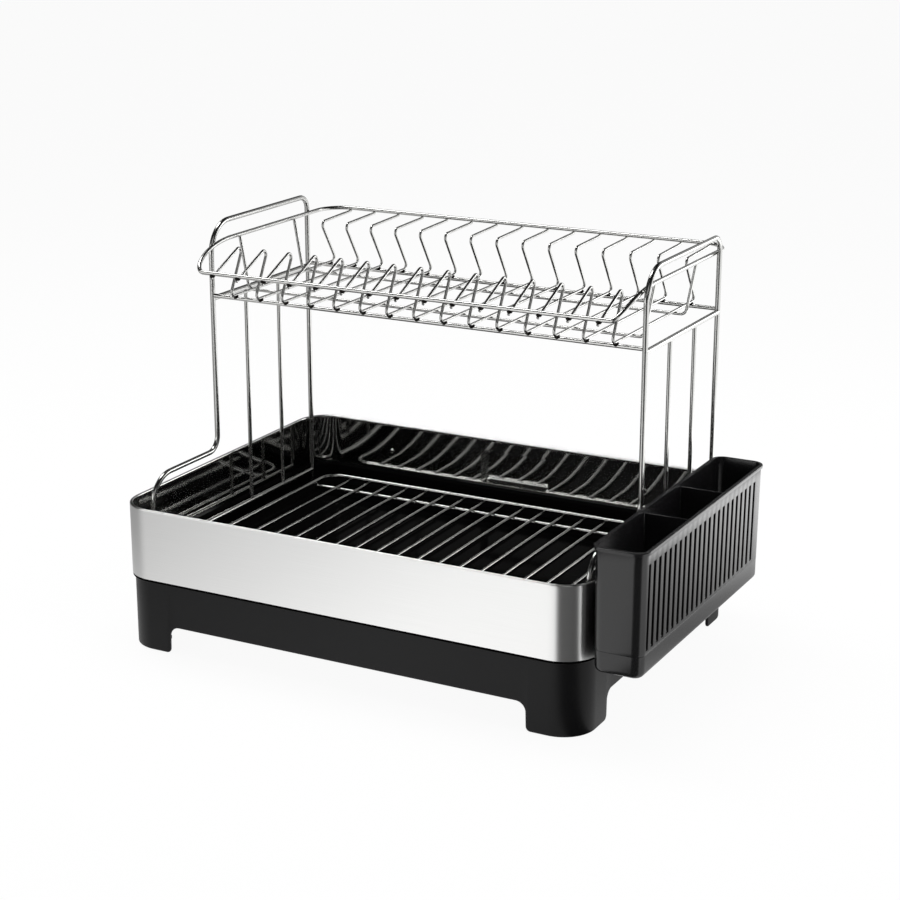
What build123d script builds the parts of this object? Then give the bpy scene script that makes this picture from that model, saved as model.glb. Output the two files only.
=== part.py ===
"""Two-tier dish drainer: a steel-banded tub, a lift-out lower rack, a welded plate tier and a cutlery caddy.

Lengths are millimetres and +Z is up. Each piece is built about the middle of the tub, with the table at
height zero, and `save` moves it so that the origin is the bottom centre of the whole drainer's box.
"""

import os
from math import atan, cos, degrees, pi, radians, sin, tan

from build123d import *

# Tub: sizes shared by the base, the band and all that stands in them
tub_width = 480.0
tub_depth = 357.0
tub_corner = 34.0
band_top = 141.0
band_bottom = 72.0
weld_sink = 0.1
running_gap = 0.3
cut_overrun = 1.0

# Base: one moulding with skirt, corner feet, upstand, shoulder, ledge and sunken tray floor
skirt_inset = 2.5
skirt_wall = 2.6
skirt_bottom = 27.3
bead_height = 3.0
bead_inset = 0.2
bead_chamfer = 1.2
upstand_wall = 1.6
shoulder_top = 89.0
shoulder_width = 7.0
shoulder_chamfer = 1.5
ledge_top = 73.5
ledge_width = 29.0
wall_draft = 1.2
tray_floor_top = 68.5
tray_corner = 16.0
tray_step_draft = 3.0
floor_wall = 2.6
foot_front_length = 52.0
foot_side_length = 55.0
foot_arch_radius = 10.0
foot_bottom_chamfer = 1.6
foot_end_chamfer = 3.0
sole_wall = 3.4
sole_side = 31.5

# Pads: square anti-slip pads let into the feet
pad_side = 18.0
pad_thickness = 2.4
pad_proud = 0.8
pad_gap = 0.1
pad_inset = 23.5

# Band: stainless strip folded over the base's upstand, with a pocket pressed in at the back
sheet = 0.6
sheet_gap = 0.1
band_fold_chamfer = 0.8
pocket_width = 76.0
pocket_height = 34.0
pocket_top_drop = 14.0
pocket_depth = 9.0
pocket_corner = 6.0

# Rivets: two domed rivets through the band's back
rivet_spacing = 288.0
rivet_drop = 30.5
rivet_head = 6.4
rivet_head_height = 1.4
rivet_flat = 3.6
rivet_tail_height = 0.8
rivet_shank = 3.2

# Flats that stand for the round of small bars and holes
round_sides = 12

# Wires: gauges, number of sides and number of chords in each round bend
hoop_wire = 5.0
post_wire = 4.0
rim_wire = 4.0
rail_wire = 4.0
plate_wire = 2.8
long_wire = 3.0
rack_frame_wire = 4.0
rack_cross_wire = 4.0
rack_floor_wire = 3.0
wire_sides = 8
thin_wire_sides = 6
bend_chords = 4
thin_bend_chords = 3

# End frames: bent hoops with bars and posts, standing in round sockets of the base's ledge
hoop_inset = 14.3
foot_inset = 39.5
back_leg_inset = 32.0
front_leg_share = 0.388
post_shares = (0.33, 0.67)
arm_rise = 15.4
arm_bend = 29.0
knee_bend = 15.0
handle_height = 381.0
handle_front_bend = 30.0
handle_back_bend = 13.0
crossbar_drop = 3.1
floor_bar_rise = 13.2
socket_depth = 7.0
socket_wall = 2.2

# Plate tier: rim, rails, long wires and plate wires, placed from the legs and the handles
rim_below_handle = 16.7
rim_back_reach = 41.5
rim_back_corner = 28.0
rim_front_drop = 21.3
rim_front_reach = 38.8
rim_corner_length = 24.8
rim_corner_width = 11.8
rim_corner_power = 2.8
rim_ease_share = 0.4
rim_drop_chords = 8
rail_below_rim = 52.8
long_wire_inset = 38.2
long_wire_splay = 12.8
long_wire_bend = 6.0
plate_count = 15
plate_end_gap = 22.85
plate_bend = 4.4
back_fold_inset = 17.3
back_fold_drop = 5.4
back_fold_reach = 11.4
front_fold_inset = 15.7
front_fold_reach = 10.3
front_end_overhang = 3.0

# Lower rack: lies in the well with room round it
rack_side_gap = 19.8
rack_end_gap = 13.6
rack_corner = 20.0
rack_cross_inset = 22.7
rack_wire_gap = 25.4
rack_wire_count = 17

# Cutlery caddy: a slotted body hung over the tub's right edge
caddy_gap = 1.0
caddy_width = 50.5
caddy_length = 289.5
caddy_front_inset = 4.5
caddy_top = 178.6
caddy_bottom = 65.7
caddy_seam = 86.5
caddy_corner = 12.0
caddy_wall = 2.0
caddy_draft = 1.3
caddy_lip = 1.5
caddy_lip_height = 3.0
divider_wall = 1.8
divider_drop = 2.5
divider_places_share = (0.376, 0.665)
slot_count = 23
slot_pitch = 11.3
slot_width = 5.5
slot_first_inset = 14.0
slot_top_drop = 12.1
slot_bottom_rise = 3.2
drain_width = 4.0
drain_margin = 9.0
drains_per_bay = 5
hook_spacing = 160.0
hook_width = 24.0
hook_wall = 2.4
hook_drop = 14.0
bumper_width = 5.0
bumper_height = 30.0
bumper_drop = 16.0

# Drip cup: closes the caddy underneath and catches its water
collar_height = 2.5
collar_wall = 1.6
cup_bottom_chamfer = 4.0

# Places that follow from the sizes above
tub_side = tub_width / 2
tub_back = tub_depth / 2
upstand_inset = sheet + sheet_gap
inner_sheet_inset = upstand_inset + upstand_wall + sheet_gap
band_wall = inner_sheet_inset + sheet
shoulder_inset = band_wall + shoulder_width
ledge_inset = shoulder_inset + wall_draft
tray_inset = ledge_inset + ledge_width
socket_floor = ledge_top - socket_depth
foot_end = socket_floor + running_gap
hoop_radius = hoop_wire / 2
hoop_reach = tub_side - hoop_inset
foot_front = foot_inset - tub_back
leg_back = tub_back - back_leg_inset
leg_front = foot_front + front_leg_share * (leg_back - foot_front)
arm_height = band_top + arm_rise
floor_bar_height = ledge_top + floor_bar_rise
rim_height = handle_height - rim_below_handle
rim_front_height = rim_height - rim_front_drop
rail_height = rim_height - rail_below_rim
crossbar_height = rail_height - crossbar_drop
rim_side = hoop_reach - (hoop_wire + rim_wire) / 2 + weld_sink
rim_back = leg_back + rim_back_reach
rim_front = leg_front - rim_front_reach
plate_pitch = 2 * (rim_side - plate_end_gap) / (plate_count - 1)
plate_floor = rail_height + (rail_wire + plate_wire) / 2 - weld_sink
rack_cross_height = ledge_top + running_gap + rack_cross_wire / 2
rack_wire_height = rack_cross_height + (rack_cross_wire + rack_floor_wire) / 2 - weld_sink
rack_frame_height = rack_wire_height + (rack_floor_wire + rack_frame_wire) / 2 - weld_sink
rack_width = tub_width - 2 * (ledge_inset + rack_side_gap) - rack_frame_wire
rack_depth = tub_depth - 2 * (ledge_inset + rack_end_gap) - rack_frame_wire
rack_pitch = (rack_width - 2 * rack_wire_gap) / (rack_wire_count - 1)
caddy_front = caddy_front_inset - tub_back
caddy_middle = (tub_side + caddy_gap + caddy_width / 2, caddy_front + caddy_length / 2)
caddy_floor_low = caddy_seam + collar_height + running_gap
caddy_floor_high = caddy_floor_low + caddy_wall
rivet_height = band_top - rivet_drop

# Origin: the middle of the drainer's box in plan
box_middle_x = (caddy_gap + caddy_width) / 2
box_middle_y = (rim_back + rim_wire / 2 - tub_back) / 2

across = (1, 0, 0)
lengthways = (0, 1, 0)
upright = (0, 0, 1)
upward = (Align.CENTER, Align.CENTER, Align.MIN)
downward = (Align.CENTER, Align.CENTER, Align.MAX)


def save(name, *pieces):
    """Move the solids of one node to the drainer's own origin and write their file."""
    move = Pos(-box_middle_x, -box_middle_y, 0)
    solids = [move * solid for piece in pieces for solid in piece.solids()]
    export_step(Compound(solids), f"parts/{name}.step")


def save_pair(name, left):
    """Write a piece of the left end frame, and its mirror image for the right one."""
    save(f"left_{name}", left)
    save(f"right_{name}", mirror(left, about=Plane.YZ))


# Wires


def drawn(places, gauge, sides, flat_direction, close=False):
    """Wire of one gauge through a row of places, one of its flats facing a given direction."""
    path = Polyline(*places, close=close)
    section = RegularPolygon(gauge / 2, sides, major_radius=False, rotation=180 / sides)
    start = Plane(origin=path @ 0, x_dir=flat_direction, z_dir=path % 0)
    return sweep(start * section, path=path, transition=Transition.RIGHT)


def round_bend(before, corner, after, radius, chords):
    """Places along a round bend at one corner, its arc cut into equal chords."""
    backward = (before - corner).normalized()
    forward = (after - corner).normalized()
    turn = radians(forward.get_angle(-backward))
    start = corner + backward * radius * tan(turn / 2)
    end = corner + forward * radius * tan(turn / 2)
    centre = corner + (backward + forward).normalized() * radius / cos(turn / 2)
    return [
        centre + ((start - centre) * sin(turn - step) + (end - centre) * sin(step)) / sin(turn)
        for step in (turn * chord / chords for chord in range(chords + 1))
    ]


def bent(points, radii, chords):
    """Places of a wire through points, with a round bend at each inner point."""
    corners = [Vector(*point) for point in points]
    places = [corners[0]]
    for before, corner, after, radius in zip(corners, corners[1:], corners[2:], radii):
        places += round_bend(before, corner, after, radius, chords)
    return [*places, corners[-1]]


# Tub


def tub_plan(inset):
    """The tub's outline in plan, a given distance inside its outer skin."""
    corner = max(tub_corner - inset, tray_corner)
    return RectangleRounded(tub_width - 2 * inset, tub_depth - 2 * inset, corner)


def tub_slab(inset, low, high):
    """Slab between two heights inside the tub's outline."""
    return extrude(Pos(0, 0, low) * tub_plan(inset), amount=high - low)


def tub_well(low_inset, low, high_inset, high):
    """Well between two heights, its walls sloping from one inset to another."""
    return loft([Pos(0, 0, low) * tub_plan(low_inset), Pos(0, 0, high) * tub_plan(high_inset)], ruled=True)


def at_corners(shape, x_inset, y_inset):
    """Copies of a shape at the four corners, given insets from the tub's sides."""
    x_reach = tub_side - x_inset
    y_reach = tub_back - y_inset
    return [Pos(x, y, 0) * shape for x in (-x_reach, x_reach) for y in (-y_reach, y_reach)]


def at_rivets(shape):
    """Copies of a shape at the two rivets, which stand on the back wall's outer skin."""
    return [Pos(x, tub_back, rivet_height) * shape for x in (-rivet_spacing / 2, rivet_spacing / 2)]


def disc(diameter):
    """Small round outline drawn with flats."""
    return RegularPolygon(diameter / 2, round_sides, major_radius=False)


def across_back(sketch, front, back):
    """Extrude a sketch, drawn in X and Z, through the back wall from one depth to another."""
    return extrude(Plane.XZ.offset(-back) * sketch, amount=back - front)


def rivet_holes():
    """Two bars that cut the rivets' holes."""
    bar = across_back(disc(rivet_shank + 2 * sheet_gap), -band_wall - cut_overrun, cut_overrun)
    return at_rivets(bar)


def pocket_block(grow, front, back):
    """Block with the outline of the pressed pocket, between two depths of the back wall."""
    face = RectangleRounded(pocket_width + 2 * grow, pocket_height + 2 * grow, pocket_corner + grow)
    middle = band_top - pocket_top_drop - pocket_height / 2
    return across_back(Pos(0, middle) * face, front, back)


def at_feet(shape):
    """Copies of a shape on the ledge where the end frames' four feet stand."""
    return [Pos(x, y, ledge_top) * shape for x in (-hoop_reach, hoop_reach) for y in (foot_front, leg_back)]


def make_base_tray():
    """Moulding with skirt, bead and feet, upstand for the band, shoulder, ledge and tray floor."""
    bead_top = band_bottom - sheet_gap
    skirt = tub_slab(skirt_inset, pad_proud, bead_top)
    skirt = chamfer(skirt.faces().sort_by(Axis.Z)[0].edges(), foot_bottom_chamfer)
    bead = tub_slab(bead_inset, bead_top - bead_height, bead_top)
    bead = chamfer(bead.faces().sort_by(Axis.Z)[0].edges(), bead_chamfer)

    # Open well: shoulder with a soft brim, steep wall, ledge and the sunken floor
    body = skirt + bead + tub_slab(upstand_inset, bead_top, shoulder_top)
    body -= tub_well(ledge_inset, ledge_top, shoulder_inset, shoulder_top)
    brim = body.faces().sort_by(Axis.Z)[-1].inner_wires()[0].edges()
    body = chamfer(brim, shoulder_chamfer)
    upstand_top = band_top - sheet - sheet_gap
    upstand = tub_slab(upstand_inset, shoulder_top, upstand_top)
    body += upstand - tub_slab(upstand_inset + upstand_wall, shoulder_top, upstand_top)
    body -= tub_well(tray_inset + tray_step_draft, tray_floor_top, tray_inset, ledge_top)

    # Hollow underside, less the soles of the feet and the bosses of the sockets
    hollow = tub_slab(skirt_inset + skirt_wall, -cut_overrun, ledge_top - floor_wall)
    hollow -= tub_slab(tray_inset - floor_wall, tray_floor_top - floor_wall, ledge_top)
    hollow -= at_corners(Box(2 * sole_side, 2 * sole_side, 2 * sole_wall), skirt_inset, skirt_inset)
    socket_width = hoop_wire + 2 * running_gap
    boss_width = socket_width + 2 * socket_wall
    hollow -= at_feet(Box(boss_width, boss_width, socket_depth + socket_wall, align=downward))
    body -= hollow
    body -= at_feet(extrude(disc(socket_width), amount=-socket_depth))

    # Arches that leave the four feet
    front_span = tub_width - 2 * (skirt_inset + foot_front_length)
    side_span = tub_depth - 2 * (skirt_inset + foot_side_length)
    for span, plane in ((front_span, Plane.XZ), (side_span, Plane.YZ)):
        arch = RectangleRounded(span, 2 * skirt_bottom, foot_arch_radius)
        half = span / 2
        flare = half + foot_end_chamfer + cut_overrun
        arch += Polygon(
            (-flare, pad_proud - cut_overrun), (flare, pad_proud - cut_overrun),
            (half, pad_proud + foot_end_chamfer), (-half, pad_proud + foot_end_chamfer),
            align=None,
        )
        body -= extrude(plane * arch, amount=tub_width, both=True)

    # Recesses for the pads, holes for the rivets and the window for the pocket
    recess_side = pad_side + 2 * pad_gap
    recess = Box(recess_side, recess_side, pad_thickness + pad_gap, align=upward)
    body -= at_corners(recess, pad_inset, pad_inset)
    body -= rivet_holes()
    body -= pocket_block(sheet + sheet_gap, tub_back - shoulder_inset, tub_back + cut_overrun)
    return body


def make_foot_pads():
    """Four anti-slip pads, which stand a little proud of the feet."""
    return at_corners(Box(pad_side, pad_side, pad_thickness, align=upward), pad_inset, pad_inset)


def make_steel_band():
    """Stainless strip: outer skin, fold over the top, inner skin and the pocket pressed in the back."""
    low = band_bottom - cut_overrun
    band = tub_slab(0, band_bottom, band_top) - tub_slab(band_wall, low, band_top)
    band = chamfer(band.faces().sort_by(Axis.Z)[-1].edges(), band_fold_chamfer)
    fold = tub_slab(sheet, low, band_top - sheet)
    fold -= tub_slab(inner_sheet_inset, shoulder_top + sheet_gap, band_top)
    band -= fold

    inner_face = tub_back - band_wall
    band += pocket_block(sheet, inner_face, inner_face + pocket_depth + sheet)
    band -= pocket_block(0, inner_face - cut_overrun, inner_face + pocket_depth)
    band -= rivet_holes()
    return band


def make_band_rivets():
    """Two rivets with low sloping heads, inside the tub and behind it."""
    shank = across_back(disc(rivet_shank), -band_wall, 0)
    head = loft([disc(rivet_head), Pos(0, 0, rivet_head_height) * disc(rivet_flat)])
    tail = loft([disc(rivet_head), Pos(0, 0, rivet_tail_height) * disc(rivet_flat)])
    rivet = shank + Pos(0, -band_wall, 0) * Rot(90, 0, 0) * head + Rot(-90, 0, 0) * tail
    return at_rivets(rivet)


# End frames, each piece as the left one


def make_hoop():
    """Bent rod: front foot, arm along the tub's edge, front leg, handle and back leg."""
    points = [
        (-hoop_reach, foot_front, foot_end),
        (-hoop_reach, foot_front, arm_height),
        (-hoop_reach, leg_front, arm_height),
        (-hoop_reach, leg_front, handle_height),
        (-hoop_reach, leg_back, handle_height),
        (-hoop_reach, leg_back, foot_end),
    ]
    radii = (arm_bend, knee_bend, handle_front_bend, handle_back_bend)
    return drawn(bent(points, radii, bend_chords), hoop_wire, wire_sides, across)


def make_bar(front, height):
    """Rod butt-welded between the hoop's legs, from a given front leg."""
    start = (-hoop_reach, front + hoop_radius - weld_sink, height)
    end = (-hoop_reach, leg_back - hoop_radius + weld_sink, height)
    return drawn([start, end], hoop_wire, wire_sides, across)


def make_post(share):
    """Upright wire between the two bars, at a share of the way from front leg to back leg."""
    place = leg_front + share * (leg_back - leg_front)
    start = (-hoop_reach, place, floor_bar_height + hoop_radius - weld_sink)
    end = (-hoop_reach, place, crossbar_height - hoop_radius + weld_sink)
    return drawn([start, end], post_wire, wire_sides, across)


# Plate tier


def rim_drop(share):
    """Place round the rim's right front corner, which is squarish in plan and falls to the front run."""
    turn = share * pi / 2
    length = rim_front_reach + rim_corner_length
    x = rim_side - rim_corner_width * (1 - sin(turn) ** (2 / rim_corner_power))
    y = rim_front + length * (1 - cos(turn) ** (2 / rim_corner_power))
    ease = (1 - rim_ease_share) * share + rim_ease_share * share**2 * (3 - 2 * share)
    return Vector(x, y, rim_front_height + rim_front_drop * ease)


def make_basket_rim():
    """Rim wire: level at the sides and back, dropping round the front corners to a lower front run."""
    side = Vector(rim_side, 0, rim_height)
    back_corner = Vector(rim_side, rim_back, rim_height)
    right = [Vector(0, rim_front, rim_front_height)]
    right += [rim_drop(chord / rim_drop_chords) for chord in range(rim_drop_chords + 1)]
    right += round_bend(side, back_corner, Vector(0, rim_back, rim_height), rim_back_corner, bend_chords)
    left = [Vector(-place.X, place.Y, place.Z) for place in reversed(right[1:])]
    return drawn(right + left, rim_wire, wire_sides, upright, close=True)


def make_rail(place):
    """Straight wire under the plate wires, butt-welded between the two end frames."""
    reach = hoop_reach - hoop_radius + weld_sink
    return drawn([(-reach, place, rail_height), (reach, place, rail_height)], rail_wire, wire_sides, upright)


def make_long_wire(place):
    """Wire along the tier, turned up at both ends to the rim."""
    low = plate_floor - (plate_wire + long_wire) / 2 + weld_sink
    top_reach = rim_side - (rim_wire + long_wire) / 2 + weld_sink
    foot_reach = rim_side - long_wire_splay
    points = [
        (-top_reach, place, rim_height),
        (-foot_reach, place, low),
        (foot_reach, place, low),
        (top_reach, place, rim_height),
    ]
    return drawn(bent(points, [long_wire_bend] * 2, bend_chords), long_wire, wire_sides, lengthways)


def make_plate_wire(number):
    """Wire folded into a back stop and a front prong, with its ends under the rim."""
    x = (number - (plate_count - 1) / 2) * plate_pitch
    under_rim = (rim_wire + plate_wire) / 2 - weld_sink
    rim_pass = rim_front_height - under_rim
    slope = (rim_height - rim_pass) / (rim_front_reach + front_fold_inset)
    points = [
        (x, rim_back + rim_wire / 2, rim_height - under_rim),
        (x, leg_back - back_fold_inset, rim_height - back_fold_drop),
        (x, leg_back + back_fold_reach, plate_floor),
        (x, leg_front - front_fold_reach, plate_floor),
        (x, leg_front + front_fold_inset, rim_height),
        (x, rim_front - front_end_overhang, rim_pass - slope * front_end_overhang),
    ]
    return drawn(bent(points, [plate_bend] * 4, thin_bend_chords), plate_wire, thin_wire_sides, across)


# Lower rack


def make_rack_frame():
    """Closed rectangle of wire with rounded corners."""
    side = Vector(rack_width / 2, 0, rack_frame_height)
    back = Vector(0, rack_depth / 2, rack_frame_height)
    bend = round_bend(side, Vector(side.X, back.Y, side.Z), back, rack_corner, bend_chords)
    back_half = bend + [Vector(-place.X, place.Y, place.Z) for place in reversed(bend)]
    front_half = [Vector(place.X, -place.Y, place.Z) for place in reversed(back_half)]
    return drawn([side, *back_half, *front_half], rack_frame_wire, wire_sides, upright, close=True)


def make_rack_cross_wire(place):
    """Wire along X that rests on the base's ledge and carries the floor wires."""
    reach = (rack_width + rack_frame_wire) / 2
    ends = [(-reach, place, rack_cross_height), (reach, place, rack_cross_height)]
    return drawn(ends, rack_cross_wire, wire_sides, upright)


def make_rack_floor_wire(number):
    """Wire from front to back, welded over the cross wires and under the frame."""
    x = (number - (rack_wire_count - 1) / 2) * rack_pitch
    reach = (rack_depth + rack_frame_wire) / 2
    ends = [(x, -reach, rack_wire_height), (x, reach, rack_wire_height)]
    return drawn(ends, rack_floor_wire, thin_wire_sides, upright)


# Cutlery caddy


def caddy_plan(inset, height):
    """The caddy's outline at one height, a given distance inside its outer wall, which narrows downward."""
    side = inset + caddy_lip + caddy_draft * (caddy_top - height) / (caddy_top - caddy_bottom)
    plan = RectangleRounded(caddy_width - 2 * side, caddy_length - 2 * side, caddy_corner - side)
    return Pos(*caddy_middle, height) * plan


def caddy_slab(inset, low, high):
    """Slab between two heights inside the caddy's outer wall, as drafted as the wall is."""
    lean = degrees(atan(caddy_draft / (caddy_top - caddy_bottom)))
    return extrude(caddy_plan(inset, low), amount=high - low, taper=-lean)


def caddy_prism(inset, low, high):
    """Slab between two heights with upright sides, for the joint between caddy and cup."""
    return extrude(caddy_plan(inset, low), amount=high - low)


def caddy_inner_face(height):
    """Where the caddy's wall beside the tub stands at one height."""
    return caddy_plan(0, height).bounding_box().min.X


def make_caddy_body():
    """Cutlery box: slotted outer wall, two dividers, drained floor, lip, hooks and bumpers."""
    body = caddy_slab(0, caddy_seam, caddy_top)
    lip_plan = RectangleRounded(caddy_width, caddy_length, caddy_corner)
    body += extrude(Pos(*caddy_middle, caddy_top - caddy_lip_height) * lip_plan, amount=caddy_lip_height)
    body -= caddy_slab(caddy_wall, caddy_floor_high, caddy_top)
    body -= caddy_prism(caddy_wall, caddy_seam, caddy_floor_low)

    # Dividers between the three bays, and drain slots in each bay's floor
    inside = caddy_slab(caddy_wall, caddy_floor_high, caddy_top - divider_drop)
    walls = [caddy_front + share * caddy_length for share in divider_places_share]
    for place in walls:
        divider = Box(caddy_width, divider_wall, caddy_top, align=upward)
        body += Pos(caddy_middle[0], place, 0) * divider & inside
    drain_length = caddy_width - 2 * (caddy_lip + caddy_draft + caddy_wall + drain_margin)
    drain = Box(drain_length, drain_width, 2 * caddy_wall)
    drain_height = (caddy_floor_low + caddy_floor_high) / 2
    bay_ends = [caddy_front + caddy_lip, *walls, caddy_front + caddy_length - caddy_lip]
    for start, end in zip(bay_ends, bay_ends[1:]):
        pitch = (end - start) / (drains_per_bay + 1)
        body -= [
            Pos(caddy_middle[0], start + (number + 1) * pitch, drain_height) * drain
            for number in range(drains_per_bay)
        ]

    # Slots through the outer wall only
    slot_low = caddy_seam + slot_bottom_rise
    slot_height = caddy_top - slot_top_drop - slot_low
    slot = Box(2 * (caddy_wall + caddy_lip + caddy_draft), slot_width, slot_height, align=upward)
    outer_face = caddy_middle[0] + caddy_width / 2
    body -= [
        Pos(outer_face, caddy_front + slot_first_inset + number * slot_pitch, slot_low) * slot
        for number in range(slot_count)
    ]

    # Hooks over the band, and bumpers that hold the caddy off it
    hook_top = band_top + running_gap + hook_wall
    hook_face = tub_side - band_wall - running_gap
    wall_face = caddy_inner_face(band_top) + caddy_wall / 2
    bumper_top = band_top - bumper_drop
    bumper_face = tub_side + running_gap
    bumper_back = caddy_inner_face(bumper_top) + caddy_wall / 2
    hanging = (Align.MIN, Align.CENTER, Align.MAX)
    for side in (-1, 1):
        place = caddy_middle[1] + side * hook_spacing / 2
        arm = Box(wall_face - hook_face + hook_wall, hook_width, hook_wall, align=hanging)
        leg = Box(hook_wall, hook_width, hook_wall + hook_drop, align=hanging)
        body += Pos(hook_face - hook_wall, place, hook_top) * (arm + leg)
        bumper = Box(bumper_back - bumper_face, bumper_width, bumper_height, align=hanging)
        body += Pos(bumper_face, place, bumper_top) * bumper
    return body


def make_caddy_drip_cup():
    """Shallow cup with a rounded bottom edge and a collar that slips inside the caddy's body."""
    cup = caddy_slab(0, caddy_bottom, caddy_seam)
    cup = chamfer(cup.faces().sort_by(Axis.Z)[0].edges(), cup_bottom_chamfer)
    collar_inset = caddy_wall + running_gap
    cup += caddy_prism(collar_inset, caddy_seam, caddy_seam + collar_height)
    inside = caddy_prism(collar_inset + collar_wall, caddy_bottom + caddy_wall, caddy_seam + collar_height)
    return cup - chamfer(inside.faces().sort_by(Axis.Z)[0].edges(), cup_bottom_chamfer / 2)


os.makedirs("parts", exist_ok=True)

save("base_tray", make_base_tray())
save("steel_band", make_steel_band())
save("band_rivets", *make_band_rivets())
save("foot_pads", *make_foot_pads())

save_pair("hoop", make_hoop())
save_pair("crossbar", make_bar(leg_front, crossbar_height))
save_pair("floor_bar", make_bar(foot_front, floor_bar_height))
for name, share in zip(("front_post", "back_post"), post_shares):
    save_pair(name, make_post(share))

save("basket_rim", make_basket_rim())
save("front_rail", make_rail(leg_front))
save("back_rail", make_rail(leg_back))
save("front_long_wire", make_long_wire(leg_front + long_wire_inset))
save("back_long_wire", make_long_wire(leg_back - long_wire_inset))
for number in range(plate_count):
    save(f"plate_wire_{number + 1:02d}", make_plate_wire(number))

save("rack_frame", make_rack_frame())
save("rack_front_cross_wire", make_rack_cross_wire(rack_cross_inset - rack_depth / 2))
save("rack_back_cross_wire", make_rack_cross_wire(rack_depth / 2 - rack_cross_inset))
for number in range(rack_wire_count):
    save(f"rack_floor_wire_{number + 1:02d}", make_rack_floor_wire(number))

save("caddy_body", make_caddy_body())
save("caddy_drip_cup", make_caddy_drip_cup())
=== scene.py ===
from math import cos, pi, radians, sin

import bpy
import numpy as np
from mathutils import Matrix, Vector


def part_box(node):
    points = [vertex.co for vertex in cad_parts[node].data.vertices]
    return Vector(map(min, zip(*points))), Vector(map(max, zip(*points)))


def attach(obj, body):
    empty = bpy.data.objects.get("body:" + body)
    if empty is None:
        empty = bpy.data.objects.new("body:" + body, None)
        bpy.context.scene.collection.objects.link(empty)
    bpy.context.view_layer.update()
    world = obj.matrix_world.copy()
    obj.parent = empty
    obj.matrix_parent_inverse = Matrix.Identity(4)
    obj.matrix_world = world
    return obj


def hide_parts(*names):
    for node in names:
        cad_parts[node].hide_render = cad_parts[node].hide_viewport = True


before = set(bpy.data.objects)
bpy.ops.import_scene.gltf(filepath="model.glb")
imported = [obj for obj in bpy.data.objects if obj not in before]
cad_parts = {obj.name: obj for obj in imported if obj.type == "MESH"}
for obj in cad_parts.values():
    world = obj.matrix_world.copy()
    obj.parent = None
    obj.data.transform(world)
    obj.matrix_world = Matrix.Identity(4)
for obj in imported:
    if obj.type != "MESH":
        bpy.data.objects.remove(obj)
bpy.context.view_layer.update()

# The room: a white floor under soft lamps, with light boxes at the front left and overhead. The walls are
# dark but for the right back one and a dim panel above the camera, which gives polished wire its dark
# stretches. The camera stands in front and to the right, as in the photograph.


def linear(hex_colour):
    """Turn an sRGB hex colour into linear red, green, blue and alpha."""
    srgb = np.array([int(hex_colour[place:place + 2], 16) for place in (1, 3, 5)]) / 255
    return [*np.where(srgb <= 0.04045, srgb / 12.92, ((srgb + 0.055) / 1.055) ** 2.4), 1.0]


def add_node(owner, kind, inputs=None, **properties):
    """Add one shader node, with its properties and with its inputs as values or as other nodes' sockets."""
    node = owner.node_tree.nodes.new("ShaderNode" + kind)
    for name, value in properties.items():
        setattr(node, name, value)
    for name, value in (inputs or {}).items():
        if isinstance(value, bpy.types.NodeSocket):
            owner.node_tree.links.new(value, node.inputs[name])
        else:
            node.inputs[name].default_value = value
    return node


def new_material(name):
    """Start a material with an empty node tree."""
    material = bpy.data.materials.new(name)
    material.use_nodes = True
    material.node_tree.nodes.clear()
    return material


def flat_stage(name, corners, material):
    """One four-cornered face that belongs to the room."""
    mesh = bpy.data.meshes.new(name)
    mesh.from_pydata(corners, [], [(0, 1, 2, 3)])
    mesh.materials.append(material)
    card = bpy.data.objects.new(name, mesh)
    bpy.context.scene.collection.objects.link(card)


# What polished steel and plastic mirror of the floor is painted light and shade, which glossy rays alone see:
# a painted dark wedge in front of the tub's right corner, a painted shadow beside the caddy, a painted pool
# of light brightest behind it, and painted shade that fades to the left.
front_corner = (0.2, -0.15, 0.0)
painted_wedge_way = (0.545, -0.838, 0.0)
painted_shadow_middle = (0.33, 0.14, 0.0)
painted_pool_middle = (0.55, 0.45, 0.0)
floor_reach = 40.0
floor_paint = new_material("studio_floor_paint")
floor_place = add_node(floor_paint, "TexCoord")
floor_offset = add_node(
    floor_paint, "VectorMath", {0: floor_place.outputs["Object"], 1: front_corner}, operation="SUBTRACT"
)
floor_way = add_node(floor_paint, "VectorMath", {0: floor_offset.outputs[0]}, operation="NORMALIZE")
painted_wedge_share = add_node(
    floor_paint, "VectorMath", {0: floor_way.outputs[0], 1: painted_wedge_way}, operation="DOT_PRODUCT"
)
# Painted shade: the floor that glossy rays see is darkened in a wedge in front of the tub's right corner.
painted_dark_wedge = add_node(
    floor_paint, "MapRange",
    {"Value": painted_wedge_share.outputs["Value"], "From Min": 0.79, "From Max": 0.88, "To Min": 0.95,
     "To Max": 0.03},
)
shade_distance = add_node(
    floor_paint, "VectorMath", {0: floor_place.outputs["Object"], 1: painted_shadow_middle}, operation="DISTANCE"
)
# Painted shadow: the floor that glossy rays see is dimmed round a place beside the caddy, as in the drainer's
# shade.
painted_caddy_shadow = add_node(
    floor_paint, "MapRange",
    {"Value": shade_distance.outputs["Value"], "From Min": 0.05, "From Max": 0.45, "To Min": 0.3,
     "To Max": 1.0},
)
pool_distance = add_node(
    floor_paint, "VectorMath", {0: floor_place.outputs["Object"], 1: painted_pool_middle}, operation="DISTANCE"
)
# Painted pool of light: the floor that glossy rays see is brightened up to 2.6 times round a place behind the
# caddy.
painted_light_pool = add_node(
    floor_paint, "MapRange",
    {"Value": pool_distance.outputs["Value"], "From Min": 0.1, "From Max": 0.45, "To Min": 2.6,
     "To Max": 1.0},
)
floor_across = add_node(floor_paint, "SeparateXYZ", {0: floor_place.outputs["Object"]})
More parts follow.
